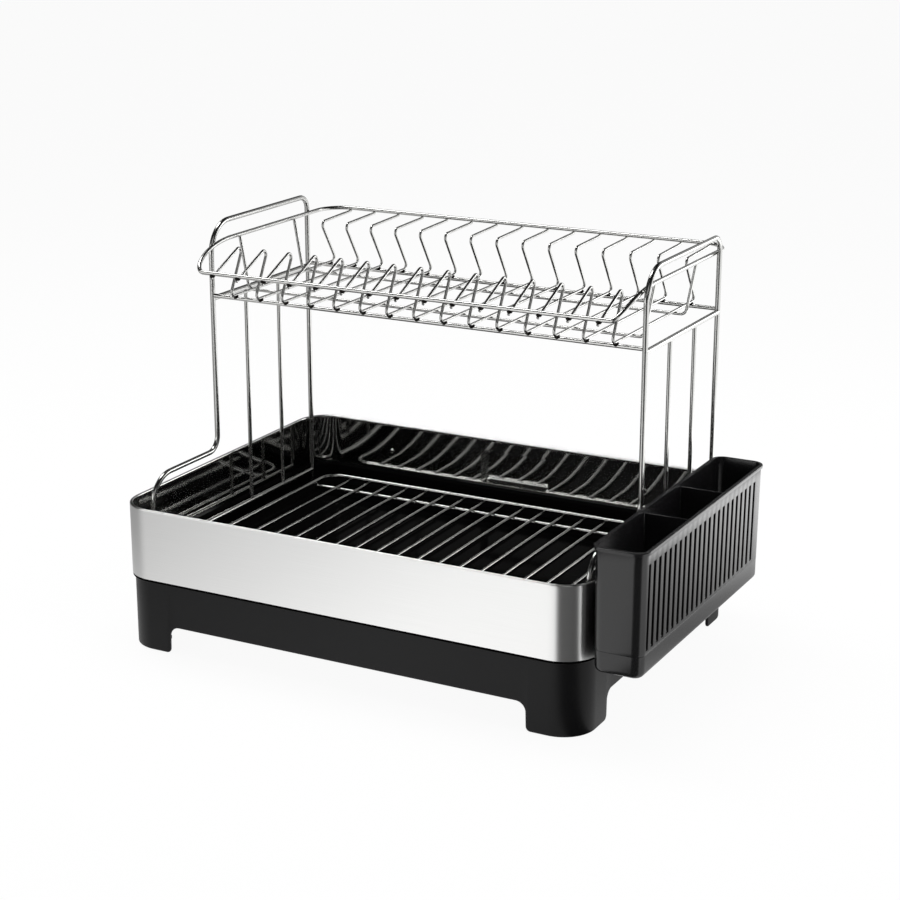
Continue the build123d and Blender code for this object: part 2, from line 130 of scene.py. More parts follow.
# Painted shade and light: the floor that glossy rays see darkens toward the left and brightens toward the
# right.
painted_left_fade = add_node(
    floor_paint, "MapRange",
    {"Value": floor_across.outputs["X"], "From Min": -0.6, "From Max": -0.04, "To Min": 0.36,
     "To Max": 1.33},
)
# The painted marks multiply into one painted floor light, which only glossy rays see; camera rays see the
# floor evenly white.
painted_floor_light = painted_caddy_shadow
for factor in (painted_light_pool, painted_left_fade, painted_dark_wedge):
    painted_floor_light = add_node(
        floor_paint, "Math", {0: factor.outputs[0], 1: painted_floor_light.outputs[0]}, operation="MULTIPLY"
    )
floor_rays = add_node(floor_paint, "LightPath")
floor_glow_level = add_node(
    floor_paint, "Mix",
    {"Factor": floor_rays.outputs["Is Camera Ray"], "A": painted_floor_light.outputs[0], "B": 1.0},
)
seen_floor = add_node(
    floor_paint, "Math", {0: floor_rays.outputs["Is Camera Ray"], 1: floor_rays.outputs["Is Glossy Ray"]},
    operation="MAXIMUM",
)
floor_white_share = add_node(floor_paint, "Math", {0: seen_floor.outputs[0], 1: 0.94}, operation="MULTIPLY")
floor_matt = add_node(floor_paint, "BsdfDiffuse", {"Color": linear("#e6e6e6")})
floor_glow = add_node(
    floor_paint, "Emission", {"Color": linear("#ffffff"), "Strength": floor_glow_level.outputs[0]}
)
floor_mix = add_node(
    floor_paint, "MixShader",
    {0: floor_white_share.outputs[0], 1: floor_matt.outputs[0], 2: floor_glow.outputs[0]},
)
add_node(floor_paint, "OutputMaterial", {"Surface": floor_mix.outputs[0]})
flat_stage(
    "studio_floor",
    [(-floor_reach, -floor_reach, 0), (floor_reach, -floor_reach, 0), (floor_reach, floor_reach, 0),
     (-floor_reach, floor_reach, 0)],
    floor_paint,
)

bright_side = (0.47, 0.883, 0.0)
front_panel = (0.445, -0.74, 0.507)
studio = bpy.data.worlds.new("studio_walls")
bpy.context.scene.world = studio
studio.use_nodes = True
studio.node_tree.nodes.clear()
studio_rays = add_node(studio, "LightPath")
studio_way = add_node(studio, "TexCoord")
studio_parts = add_node(studio, "SeparateXYZ", {0: studio_way.outputs["Generated"]})
studio_side = add_node(
    studio, "VectorMath", {0: studio_way.outputs["Generated"], 1: bright_side}, operation="DOT_PRODUCT"
)
ceiling_shade = add_node(
    studio, "MapRange",
    {"Value": studio_parts.outputs["Z"], "From Min": 0.3, "From Max": 0.75, "To Min": 0.6, "To Max": 0.03},
)
side_shade = add_node(
    studio, "MapRange",
    {"Value": studio_side.outputs["Value"], "From Min": 0.6, "From Max": 0.85, "To Min": 0.05, "To Max": 1.0},
)
wall_level = add_node(
    studio, "Math", {0: ceiling_shade.outputs[0], 1: side_shade.outputs[0]}, operation="MULTIPLY"
)
panel_side = add_node(
    studio, "VectorMath", {0: studio_way.outputs["Generated"], 1: front_panel}, operation="DOT_PRODUCT"
)
panel_level = add_node(
    studio, "MapRange",
    {"Value": panel_side.outputs["Value"], "From Min": 0.95, "From Max": 0.985, "To Min": 0.0, "To Max": 0.6},
)
room_level = add_node(studio, "Math", {0: wall_level.outputs[0], 1: panel_level.outputs[0]}, operation="ADD")
studio_walls = add_node(studio, "Background", {"Color": linear("#ffffff"), "Strength": room_level.outputs[0]})
studio_fill = add_node(studio, "Background", {"Color": linear("#d8d8d8"), "Strength": 0.5})
studio_white = add_node(studio, "Background", {"Color": linear("#ffffff"), "Strength": 1.0})
studio_inner = add_node(
    studio, "MixShader",
    {0: studio_rays.outputs["Is Glossy Ray"], 1: studio_fill.outputs[0], 2: studio_walls.outputs[0]},
)
studio_mix = add_node(
    studio, "MixShader",
    {0: studio_rays.outputs["Is Camera Ray"], 1: studio_inner.outputs[0], 2: studio_white.outputs[0]},
)
add_node(studio, "OutputWorld", {"Surface": studio_mix.outputs[0]})


def soft_lamp(name, place, width, height, power, mirrored):
    """Rectangular soft lamp that faces the drainer, and that polished steel shows or doesn't show."""
    lamp = bpy.data.lights.new(name, "AREA")
    lamp.shape = "RECTANGLE"
    lamp.size = width
    lamp.size_y = height
    lamp.energy = power
    stand = bpy.data.objects.new(name, lamp)
    stand.location = place
    stand.rotation_euler = (Vector((0, 0, 0.15)) - Vector(place)).to_track_quat("-Z", "Y").to_euler()
    stand.visible_glossy = mirrored
    bpy.context.scene.collection.objects.link(stand)


soft_lamp("light_box", (-0.95, -1.5, 0.5), 1.5, 0.8, 6.5, True)
soft_lamp("back_lamp", (0.75, 0.95, 0.45), 0.5, 0.3, 2.2, True)
soft_lamp("side_lamp", (1.7, -0.2, 1.2), 0.8, 1.4, 12, False)
soft_lamp("top_lamp", (-0.2, 0.2, 1.9), 1.6, 1.2, 22, False)
soft_lamp("top_box", (-0.88, 0.2, 1.9), 0.5, 1.0, 14, True)

camera_data = bpy.data.cameras.new("camera")
camera_data.sensor_width = 36.0
camera_data.lens = 83.01
camera = bpy.data.objects.new("camera", camera_data)
camera_azimuth = radians(27.955)
camera_pitch = radians(17.03)
camera.location = (0.8702, -1.6585, 0.7558)
camera.rotation_euler = (pi / 2 - camera_pitch, 0, camera_azimuth)
bpy.context.scene.collection.objects.link(camera)
bpy.context.scene.camera = camera
bpy.context.scene.view_settings.view_transform = "Standard"

# Base: one injection moulding of black ABS with a grained skirt on four corner feet, a smooth well with a
# shoulder, a ledge and a sunken floor, and an upstand that the steel band is folded over.

tray_low, tray_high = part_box("base_tray")
tub_middle = np.array([(tray_low.x + tray_high.x) / 2, (tray_low.y + tray_high.y) / 2, 0])
tub_half = np.array([0.240, 0.1785])
tub_corner = 0.034
tray_corner = 0.016


def tub_stations(front_shares, side_shares, corner_steps=20):
    """Stations round the tub, anticlockwise from the front left: a reach along each side and a normal.

    A station's place is reach * (half size - inset - corner) + corner * outward normal, for any inset.
    """
    turn = np.linspace(0, pi / 2, corner_steps + 1)
    sides = []
    for side, shares in enumerate((front_shares, side_shares, front_shares, side_shares)):
        angle = side * pi / 2
        spin = np.array([[cos(angle), sin(angle)], [-sin(angle), cos(angle)]])
        run = np.stack([shares, np.full(len(shares), -1.0)], axis=1)
        run_normal = np.tile([0.0, -1.0], (len(shares), 1))
        arc = np.tile([1.0, -1.0], (len(turn), 1))
        arc_normal = np.stack([np.sin(turn), -np.cos(turn)], axis=1)
        sides.append(np.hstack([run @ spin, run_normal @ spin]))
        sides.append(np.hstack([arc @ spin, arc_normal @ spin]))
    return np.vstack(sides)


def tub_rings(stations, insets, heights):
    """Rings round the tub, one for each inset from its outer skin and each height or row of heights."""
    insets = np.asarray(insets, float)[:, None, None]
    corner = np.maximum(tub_corner - insets, tray_corner)
    plan = stations[:, :2] * (tub_half - insets - corner) + corner * stations[:, 2:]
    heights = np.broadcast_to(np.asarray(heights, float).reshape(len(insets), -1), plan.shape[:2])
    return np.concatenate([plan, heights[..., None]], axis=2)


def skin(rings, closed=False):
    """Faces between neighbouring rings of points, with a flat cap on each end of an open row of rings."""
    count, sides = rings.shape[:2]
    index = np.arange(count * sides).reshape(count, sides)
    rows = np.vstack([index, index[:1]]) if closed else index
    following = np.roll(rows, -1, axis=1)
    quads = np.stack([rows[:-1], following[:-1], following[1:], rows[1:]], axis=-1).reshape(-1, 4)
    caps = [] if closed else [index[0, ::-1].tolist(), index[-1].tolist()]
    return rings.reshape(-1, 3), quads.tolist() + caps


def bent_path(points, radii, steps):
    """Straight runs through points, each inner corner rounded by an arc of its radius."""
    points = np.asarray(points, float)
    places = [points[:1]]
    for before, corner, after, radius in zip(points, points[1:], points[2:], radii):
        back = (before - corner) / np.linalg.norm(before - corner)
        ahead = (after - corner) / np.linalg.norm(after - corner)
        half_turn = (pi - np.arccos(np.clip(back @ ahead, -1, 1))) / 2
        middle = (back + ahead) / np.linalg.norm(back + ahead)
        centre = corner + middle * radius / cos(half_turn)
        tangent = (ahead - back) / np.linalg.norm(ahead - back)
        angle = np.linspace(-half_turn, half_turn, steps)[:, None]
        places.append(centre + radius * (np.sin(angle) * tangent - np.cos(angle) * middle))
    return np.vstack([*places, points[-1:]])


def make_piece(name, shape, materials, body, nodes):
    """Mesh object made of points and faces, in metres about the tub's middle, that stands for CAD nodes."""
    vertices, faces = shape
    mesh = bpy.data.meshes.new(name)
    mesh.from_pydata((vertices + tub_middle).tolist(), [], faces)
    mesh.shade_smooth()
    mesh.set_sharp_from_angle(angle=radians(35.0))
    for material in materials:
        mesh.materials.append(material)
    piece = bpy.data.objects.new(name, mesh)
    bpy.context.scene.collection.objects.link(piece)
    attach(piece, body)
    if nodes:
        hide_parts(*nodes)
    return piece


def outward(shape):
    """The shape, its faces turned if need be so that the volume that they enclose counts as positive."""
    vertices, faces = shape
    corners = np.array([face[:3] for face in faces])
    first, second, third = (vertices[corners[:, column]] for column in range(3))
    enclosed = np.einsum("ij,ij->", first, np.cross(second, third))
    return shape if enclosed > 0 else (vertices, [face[::-1] for face in faces])


# Black ABS against the spark-grained side of the mould: the grain dulls the skirt to a satin that still takes
# broad highlights. It is drawn 0.3 mm across, a little coarser than the mould's, so that it shows.
grain_size = 0.0003
flow_size = 0.05
grained_abs = new_material("spark_grained_black_abs")
grained_place = add_node(grained_abs, "TexCoord")
grain = add_node(grained_abs, "TexNoise", {"Vector": grained_place.outputs["Object"], "Scale": 1 / grain_size,
                                           "Detail": 2.0})
flow = add_node(grained_abs, "TexNoise", {"Vector": grained_place.outputs["Object"], "Scale": 1 / flow_size})
flow_tone = add_node(
    grained_abs, "Mix", {"Factor": flow.outputs[0], "A": linear("#0c0c0d"), "B": linear("#121213")},
    data_type="RGBA",
)
flow_gloss = add_node(grained_abs, "MapRange", {"Value": flow.outputs[0], "To Min": 0.34, "To Max": 0.46})
grain_bump = add_node(
    grained_abs, "Bump", {"Height": grain.outputs[0], "Strength": 0.25, "Distance": 0.00008}
)
grained_shader = add_node(
    grained_abs, "BsdfPrincipled",
    {"Base Color": flow_tone.outputs[2], "Roughness": flow_gloss.outputs[0], "IOR": 1.54,
     "Specular IOR Level": 0.15, "Normal": grain_bump.outputs[0]},
)
add_node(grained_abs, "OutputMaterial", {"Surface": grained_shader.outputs[0]})

# The same ABS against the polished side, in the well and on the bead: smooth, with very slight waves from
# shrinkage, and so deep a black that hardly a reflection shows in it.
shrinkage_size = 0.02
polished_abs = new_material("mould_polished_black_abs")
polished_place = add_node(polished_abs, "TexCoord")
shrinkage = add_node(
    polished_abs, "TexNoise", {"Vector": polished_place.outputs["Object"], "Scale": 1 / shrinkage_size}
)
polished_gloss = add_node(
    polished_abs, "MapRange", {"Value": shrinkage.outputs[0], "To Min": 0.05, "To Max": 0.11}
)
shrinkage_bump = add_node(
    polished_abs, "Bump", {"Height": shrinkage.outputs[0], "Strength": 0.05, "Distance": 0.0003}
)
polished_shader = add_node(
    polished_abs, "BsdfPrincipled",
    {"Base Color": linear("#060606"), "Roughness": polished_gloss.outputs[0], "IOR": 1.54,
     "Specular IOR Level": 0.001, "Normal": shrinkage_bump.outputs[0]},
)
add_node(polished_abs, "OutputMaterial", {"Surface": polished_shader.outputs[0]})

foot_level = 0.0008
skirt_inset = 0.0025
skirt_wall = 0.0026
skirt_low = 0.0273
bead_inset = 0.0002
bead_top = 0.0719
bead_low = 0.0689
foot_length = 0.052
foot_width = 0.055
foot_round = 0.004
arch_corner = 0.010
shoulder_top = 0.089
ledge_top = 0.0735
tray_floor = 0.0685
floor_wall = 0.0026
shoulder_inset = 0.010
ledge_inset = 0.0112
tray_inset = 0.0402
upstand_inset = 0.0007
upstand_wall = 0.0012
upstand_top = 0.1403
upstand_low = 0.092
window_half_width = 0.0395
sunken_draft = 0.003
under_draft = 0.001
rounded_reach = 0.003
arch_step = 0.0003
window_step = 0.0004
hair = 0.0001

arch_half = tub_half - skirt_inset - [foot_length, foot_width]
straight_half = tub_half - tub_corner
quarter = 1 - np.cos(np.linspace(0, pi / 2, 8))


def arch_shares(half_arch, half_straight):
    """Shares of a side, close together where the arch between two feet turns and the feet are rounded."""
    right = np.hstack([half_arch - arch_corner * quarter[::-1], half_arch + arch_step + foot_round * quarter])
    right /= half_straight
    return np.hstack([-right[::-1], 0, right])


window_side = window_half_width + np.array([0, window_step])
window_edges = np.hstack([-window_side[::-1], window_side])
base_stations = tub_stations(
    np.sort(np.hstack([arch_shares(arch_half[0], straight_half[0]), window_edges / straight_half[0]])),
    arch_shares(arch_half[1], straight_half[1]),
)
along_front = np.abs(base_stations[:, 3]) > np.abs(base_stations[:, 2])
distance = np.where(along_front, np.abs(base_stations[:, 0]) * straight_half[0],
                    np.abs(base_stations[:, 1]) * straight_half[1])
edge = np.where(along_front, arch_half[0], arch_half[1])
short_of_arch = arch_corner - np.clip(edge - distance, 0, arch_corner)
short_of_foot = foot_round - np.clip(distance - edge - arch_step, 0, foot_round)
arch_rise = np.where(
    distance < edge + hair,
    skirt_low - foot_level - arch_corner + np.sqrt(arch_corner ** 2 - short_of_arch ** 2),
    foot_round - np.sqrt(foot_round ** 2 - short_of_foot ** 2),
)

base_arc_points = 5
well_bends = 4
base_profile = bent_path(
    [
        (tray_inset + sunken_draft, tray_floor), (tray_inset, ledge_top), (ledge_inset, ledge_top),
        (shoulder_inset, shoulder_top), (upstand_inset + upstand_wall, shoulder_top),
        (upstand_inset + upstand_wall, upstand_top), (upstand_inset, upstand_top), (upstand_inset, bead_top),
        (bead_inset, bead_top), (bead_inset, bead_low), (skirt_inset, bead_low), (skirt_inset, foot_level),
        (skirt_inset + skirt_wall, foot_level),
        (skirt_inset + skirt_wall, ledge_top - floor_wall), (tray_inset - floor_wall, ledge_top - floor_wall),
        (tray_inset + under_draft, tray_floor - floor_wall),
    ],
    [0.001, 0.002, 0.0015, 0.0003, 0.0003, 0.0003, 0.0002, 0.0002, 0.0013, 0.0006, 0.0015, 0.0006, 0.001,
     0.001],
    base_arc_points,
)
at_foot = base_profile[:, 1] < foot_level + rounded_reach
at_upstand_top = base_profile[:, 1] > upstand_top - rounded_reach
on_back = base_stations[:, 3] > 0.99
in_window = on_back & (np.abs(base_stations[:, 0]) * straight_half[0] < window_half_width + hair)
base_heights = (
    base_profile[:, 1][:, None]
    + at_foot[:, None] * arch_rise
    - (at_upstand_top[:, None] & in_window) * (upstand_top - upstand_low)
)
base_shape = outward(skin(tub_rings(base_stations, base_profile[:, 0], base_heights)))
base_piece = make_piece(
    "base_moulding", base_shape, [grained_abs, polished_abs], "tub", ["base_tray"]
)
well_rows = np.arange(len(base_profile) - 1) < 1 + base_arc_points * well_bends
bead_rows = np.maximum(base_profile[:-1, 0], base_profile[1:, 0]) < bead_inset + 2 * hair
well_faces = np.hstack([np.repeat(well_rows | bead_rows, len(base_stations)), [True, False]])
base_piece.data.polygons.foreach_set("material_index", well_faces.astype(np.int32))


def lathe(places, centre, axis, sides=24):
    """Solid of revolution: circles of the given radii at the given distances along an axis from a centre."""
    axis = np.asarray(axis, float)
    first = np.cross(axis, [0.3, 0.5, 0.8])
    first /= np.linalg.norm(first)
    second = np.cross(axis, first)
    angle = np.linspace(0, 2 * pi, sides, endpoint=False)
    circle = np.cos(angle)[:, None] * first + np.sin(angle)[:, None] * second
    places = np.asarray(places, float)
    return outward(skin(centre + places[:, :1, None] * axis + places[:, 1:, None] * circle))


def joined(shapes):
    """Several shapes as one list of points and faces."""
    starts = np.cumsum([0] + [len(vertices) for vertices, _ in shapes]).tolist()
    faces = [
        [index + start for index in face] for (_, each), start in zip(shapes, starts) for face in each
    ]
    return np.vstack([vertices for vertices, _ in shapes]), faces


def cut_away(piece, shape, operation="DIFFERENCE"):
    """Cut a closed shape out of a piece, or join it on, and keep the result as the piece's own mesh."""
    tool_mesh = bpy.data.meshes.new("tool")
    tool_mesh.from_pydata((shape[0] + tub_middle).tolist(), [], shape[1])
    tool_mesh.materials.append(piece.data.materials[0])
    tool = bpy.data.objects.new("tool", tool_mesh)
    bpy.context.scene.collection.objects.link(tool)
    cut = piece.modifiers.new("cut", "BOOLEAN")
    cut.operation = operation
    cut.object = tool
    cut.solver = "EXACT"
    cut.use_self = True
    settled = piece.evaluated_get(bpy.context.evaluated_depsgraph_get())
    piece.data = bpy.data.meshes.new_from_object(settled)
    piece.modifiers.clear()
    bpy.data.objects.remove(tool)


# Where each foot of the end frames stands, the ledge has a boss with a bore that is flared at its mouth.
socket_radius = 0.0028
socket_wall = 0.0022
socket_depth = 0.007
boss_drop = 0.001
mouth_depth = 0.0006
mouth_flare = 0.0012
hoop_reach = 0.2257
foot_front = -0.139
leg_back = 0.1465
socket_places = [(x, y, ledge_top) for x in (-hoop_reach, hoop_reach) for y in (foot_front, leg_back)]
boss_radius = socket_radius + socket_wall
boss_steps = [(-socket_depth - socket_wall, boss_radius), (-boss_drop, boss_radius)]
bore_steps = [
    (-socket_depth, socket_radius), (-mouth_depth, socket_radius), (mouth_depth, socket_radius + mouth_flare),
]
cut_away(base_piece, joined([lathe(boss_steps, place, (0, 0, 1)) for place in socket_places]), "UNION")
cut_away(base_piece, joined([lathe(bore_steps, place, (0, 0, 1)) for place in socket_places]))

# Soles: flat quarter discs that close the corners of the feet underneath, moulded in one with the skirt of
# the same grained ABS.

sole_top = foot_level + 0.0034
sole_inset = skirt_inset + 0.001
corner_middle = tub_half - tub_corner
sole_turn = np.linspace(0, pi / 2, 9)
sole_round = np.stack([np.cos(sole_turn), np.sin(sole_turn)], axis=1)
sole_arc = corner_middle + (tub_corner - sole_inset) * sole_round
sole_plan = np.vstack([corner_middle, sole_arc])
soles = []
for mirror in ((1, 1), (-1, 1), (1, -1), (-1, -1)):
    sole = np.stack([np.hstack([sole_plan * mirror, np.full((len(sole_plan), 1), height)])
                     for height in (foot_level + hair, sole_top)])
    soles.append(outward(skin(sole)))
make_piece("foot_soles", joined(soles), [grained_abs], "tub", [])

# Pads: squares of black rubber, cut from sheet and glued under the soles so that the tub doesn't slide.
# The sheet keeps the mark of the cloth that it was pressed on, drawn coarse, and is dull and slightly grey.

cloth_pitch = 0.0008
pad_rubber = new_material("cut_sheet_rubber")
pad_place = add_node(pad_rubber, "TexCoord")
cloth_mark = add_node(
    pad_rubber, "TexNoise", {"Vector": pad_place.outputs["Object"], "Scale": 1 / cloth_pitch}
)
pad_tone = add_node(
    pad_rubber, "Mix", {"Factor": cloth_mark.outputs[0], "A": linear("#222222"), "B": linear("#303030")},
    data_type="RGBA",
)
pad_bump = add_node(
    pad_rubber, "Bump", {"Height": cloth_mark.outputs[0], "Strength": 0.3, "Distance": 0.0001}
)
pad_shader = add_node(
    pad_rubber, "BsdfPrincipled",
    {"Base Color": pad_tone.outputs[2], "Roughness": 0.85, "IOR": 1.52, "Normal": pad_bump.outputs[0]},
)
add_node(pad_rubber, "OutputMaterial", {"Surface": pad_shader.outputs[0]})
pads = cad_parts["foot_pads"]
pads.data.materials.clear()
pads.data.materials.append(pad_rubber)

# Band: stainless sheet wrapped round the tub, its top edge folded inward over the upstand. Satin brushed
# outside, bright inside, with a shallow pocket pressed outward into the back wall.

# The sheet's outer side is finished with a fine abrasive belt that runs round the tub: satin, with level
# strokes, each a little lighter or darker than the next, so that highlights stretch up and down. The strokes
# are drawn 0.3 mm wide, coarser than the belt leaves them, because finer ones wouldn't show.
stroke_length = 0.09
stroke_width = 0.0003
brushed_steel = new_material("belt_brushed_stainless")
brushed_place = add_node(brushed_steel, "TexCoord")
brushed_turn = add_node(
    brushed_steel, "Mapping",
    {"Vector": brushed_place.outputs["Object"],
     "Scale": (1 / stroke_length, 1 / stroke_length, 1 / stroke_width)},
)
strokes = add_node(
    brushed_steel, "TexNoise", {"Vector": brushed_turn.outputs[0], "Scale": 1.0, "Detail": 3.0}
)
brushed_tone = add_node(
    brushed_steel, "Mix", {"Factor": strokes.outputs[0], "A": linear("#e0e0df"), "B": linear("#ebebea")},
    data_type="RGBA",
)
brushed_gloss = add_node(
    brushed_steel, "MapRange", {"Value": strokes.outputs[0], "To Min": 0.28, "To Max": 0.32}
)
brushed_bump = add_node(
    brushed_steel, "Bump", {"Height": strokes.outputs[0], "Strength": 0.01, "Distance": 0.00001}
)
stroke_way = add_node(brushed_steel, "Tangent", direction_type="RADIAL", axis="Z")
brushed_shader = add_node(
    brushed_steel, "BsdfPrincipled",
    {"Base Color": brushed_tone.outputs[2], "Metallic": 1.0, "Roughness": brushed_gloss.outputs[0],
     "Anisotropic": 0.8, "Anisotropic Rotation": 0.25, "Tangent": stroke_way.outputs[0],
     "Normal": brushed_bump.outputs[0]},
)
add_node(brushed_steel, "OutputMaterial", {"Surface": brushed_shader.outputs[0]})

# The inner side keeps the mill's bright-annealed finish: a mirror with a slight haze and long soft waves.
wave_length = 0.03
bright_steel = new_material("bright_annealed_stainless")
bright_place = add_node(bright_steel, "TexCoord")
haze = add_node(
    bright_steel, "TexNoise",
    {"Vector": bright_place.outputs["Object"], "Scale": 1 / wave_length, "Detail": 0},
)
bright_gloss = add_node(bright_steel, "MapRange", {"Value": haze.outputs[0], "To Min": 0.03, "To Max": 0.08})
bright_bump = add_node(
    bright_steel, "Bump", {"Height": haze.outputs[0], "Strength": 0.08, "Distance": 0.0006}
)
bright_shader = add_node(
    bright_steel, "BsdfPrincipled",
    {"Base Color": linear("#d4d4d2"), "Metallic": 1.0, "Roughness": bright_gloss.outputs[0],
     "Normal": bright_bump.outputs[0]},
)
add_node(bright_steel, "OutputMaterial", {"Surface": bright_shader.outputs[0]})


def pressed_share(across, up, half_width, half_height, corner, slope):
    """Depth share of a pressed pocket: 1 inside a rounded rectangle, eased to 0 outside it over a slope."""
    beyond = np.stack([np.abs(across) - half_width + corner, np.abs(up) - half_height + corner])
    outside = np.linalg.norm(np.maximum(beyond, 0), axis=0) + np.minimum(beyond.max(axis=0), 0) - corner
    share = np.clip(0.5 - outside / slope, 0, 1)
    return share ** 2 * (3 - 2 * share)


band_low = 0.072
band_high = 0.141
band_wall = 0.003
sheet = 0.0006
skin_low = 0.0891
pocket_half_width = 0.038
pocket_half_height = 0.017
pocket_middle = band_high - 0.014 - pocket_half_height
pocket_depth = 0.009
pocket_corner = 0.003
pocket_slope = 0.001
wall_lean = 0.0008
lean_low = 0.108
hem_radius = band_wall / 2
hem_middle = band_high - hem_radius

# The rows of points stand close together round the pocket's edge, where the sheet turns, and far apart
# elsewhere.
hem_turn = np.linspace(0, pi, 13)[1:-1]
pocket_turn = np.linspace(-0.003, 0.0009, 14)
pocket_rows = pocket_middle + np.hstack([-pocket_half_height - pocket_turn, pocket_half_height + pocket_turn])
skin_rows = np.sort(np.hstack([skin_low, 0.0905, pocket_rows, np.linspace(0.0975, 0.1235, 12), 0.1305,
                               np.linspace(0.133, hem_middle, 4)]))
wall_rows = np.hstack([np.linspace(band_low, 0.087, 4), skin_rows])
outer_side = np.stack([np.zeros(len(wall_rows)), wall_rows], axis=1)
lean = np.clip((skin_rows - lean_low) / (hem_middle - lean_low), 0, 1)
inner_side = np.stack([band_wall - wall_lean * (1 - lean ** 2), skin_rows], axis=1)[::-1]
hem = np.stack([-np.cos(hem_turn), np.sin(hem_turn)], axis=1)
band_profile = np.vstack([
    outer_side,
    (hem_radius, hem_middle) + hem_radius * hem,
    inner_side,
    inner_side[::-1] - (sheet, 0),
    (hem_radius, hem_middle) + (hem_radius - sheet) * hem[::-1],
    outer_side[::-1] + (sheet, 0),
])
pocket_side = pocket_half_width + pocket_turn
dense = np.hstack([-pocket_side[::-1], np.linspace(-0.034, 0.034, 20), pocket_side]) / straight_half[0]
band_stations = tub_stations(
    np.hstack([np.linspace(-1, dense[0], 8)[1:-1], dense, np.linspace(dense[-1], 1, 8)[1:-1]]),
    np.linspace(-1, 1, 10)[1:-1], 28,
)
band_rings = tub_rings(band_stations, band_profile[:, 0], band_profile[:, 1])
press = pressed_share(
    band_rings[..., 0], band_rings[..., 2] - pocket_middle, pocket_half_width, pocket_half_height,
    pocket_corner, pocket_slope,
) * (band_stations[:, 3] > 0.99)
on_outer_side = (band_profile[:, 0] < hem_radius)[:, None]
outer_press = pocket_depth - band_wall + wall_lean + 2 * sheet + hair
band_rings[..., 1] += press * np.where(on_outer_side, outer_press, pocket_depth)
band_piece = make_piece(
    "steel_band", outward(skin(band_rings, closed=True)), [brushed_steel, bright_steel], "tub",
    ["steel_band"],
)
row = np.arange(len(band_profile))
bright_rows = (row >= len(outer_side) + len(hem) - 2) & (row < len(band_profile) - len(outer_side))
bright_faces = np.repeat(bright_rows, len(band_stations))
band_piece.data.polygons.foreach_set("material_index", bright_faces.astype(np.int32))

# Rivets: two stainless rivets through the band's back wall, one on each side of the pocket. They are put in
# from inside the tub, where their low domes show, and closed outside with a flatter tail.

dome_height = 0.0014
tail_height = 0.0008
rivet_radius = 0.0032
shank_radius = 0.0016
rivet_height = 0.1105
rivet_half_spacing = 0.144
rivet_seat = band_wall - wall_lean
dome = np.linspace(0.05, pi / 2, 7)
rivet_steps = np.vstack([
    np.stack([rivet_seat + dome_height * np.cos(dome), rivet_radius * np.sin(dome)], axis=1),
    [(rivet_seat, shank_radius), (0, shank_radius)],
    np.stack([-tail_height * np.sin(pi / 2 - dome[::-1]), rivet_radius * np.sin(dome[::-1])], axis=1),
])
rivets = [
    lathe(rivet_steps, (x, tub_half[1], rivet_height), (0, -1, 0))
    for x in (-rivet_half_spacing, rivet_half_spacing)
]
make_piece("band_rivets", joined(rivets), [bright_steel], "tub", ["band_rivets"])

# End frames: two bent rods of polished stainless wire, each with bars and posts welded in. The rod
# makes foot, arm, front leg, handle and back leg in one run, and stands in sockets of the tub's ledge.

def tube(path, radius, sides, across, closed=False):
    """Round wire along a path: each ring is place + radius * (cos a * side + sin a * other).

    The side is the direction across, less its part along the path. The other is square to it and to the path.
    A narrower ring rounds each end.
    """
    path = np.asarray(path, float)
    if closed:
        along = np.roll(path, -1, axis=0) - np.roll(path, 1, axis=0)
        radii = np.full(len(path), radius)
    else:
        first = (path[1] - path[0]) / np.linalg.norm(path[1] - path[0])
        last = (path[-1] - path[-2]) / np.linalg.norm(path[-1] - path[-2])
        soft = radius * 0.35
        path = np.vstack([
            path[:1], path[:1] + first * soft, path[1:-1], path[-1:] - last * soft, path[-1:],
        ])
        along = np.gradient(path, axis=0)
        radii = np.full(len(path), radius)
        radii[[0, -1]] = radius * 0.68
    along /= np.linalg.norm(along, axis=1, keepdims=True)
    side = across - (along @ across)[:, None] * along
    side /= np.linalg.norm(side, axis=1, keepdims=True)
    other = np.cross(along, side)
    angle = np.linspace(0, 2 * pi, sides, endpoint=False)
    spread = np.cos(angle)[None, :, None] * side[:, None] + np.sin(angle)[None, :, None] * other[:, None]
    return skin(path[:, None] + radii[:, None, None] * spread, closed)


def mirrored(shape):
    """The same shape on the other side of the tub's middle plane, its faces turned to point outward again."""
    vertices, faces = shape
    return vertices * [-1, 1, 1], [face[::-1] for face in faces]


# Drawn stainless wire, electropolished: bright, but a blurred mirror, since the bath leaves the gloss of the
# drawn skin slightly uneven every few millimetres.
cloud_size = 0.006
wire_steel = new_material("electropolished_stainless_wire")
wire_place = add_node(wire_steel, "TexCoord")
wire_cloud = add_node(
    wire_steel, "TexNoise", {"Vector": wire_place.outputs["Object"], "Scale": 1 / cloud_size}
)
wire_gloss = add_node(
    wire_steel, "MapRange", {"Value": wire_cloud.outputs[0], "To Min": 0.12, "To Max": 0.28}
)
wire_shader = add_node(
    wire_steel, "BsdfPrincipled",
    {"Base Color": linear("#c9c9c7"), "Metallic": 1.0, "Roughness": wire_gloss.outputs[0]},
)
add_node(wire_steel, "OutputMaterial", {"Surface": wire_shader.outputs[0]})


def make_wire(name, path, radius, sides, across, body, closed=False):
    """A wire that stands for the CAD node of its own name."""
    shape = tube(path, radius, sides, across, closed)
    make_piece(name, shape, [wire_steel], body, [name])


x_axis = np.array([1.0, 0, 0])
y_axis = np.array([0, 1.0, 0])
z_axis = np.array([0, 0, 1.0])
hoop_radius = 0.0025
post_radius = 0.002
leg_front = -0.0282
foot_end = 0.0668
arm_height = 0.1564
handle_height = 0.381
crossbar_height = 0.3084
floor_bar_height = 0.0867
post_places = {"front_post": 0.0294, "back_post": 0.0887}
hoop_bends = (0.029, 0.015, 0.030, 0.013)

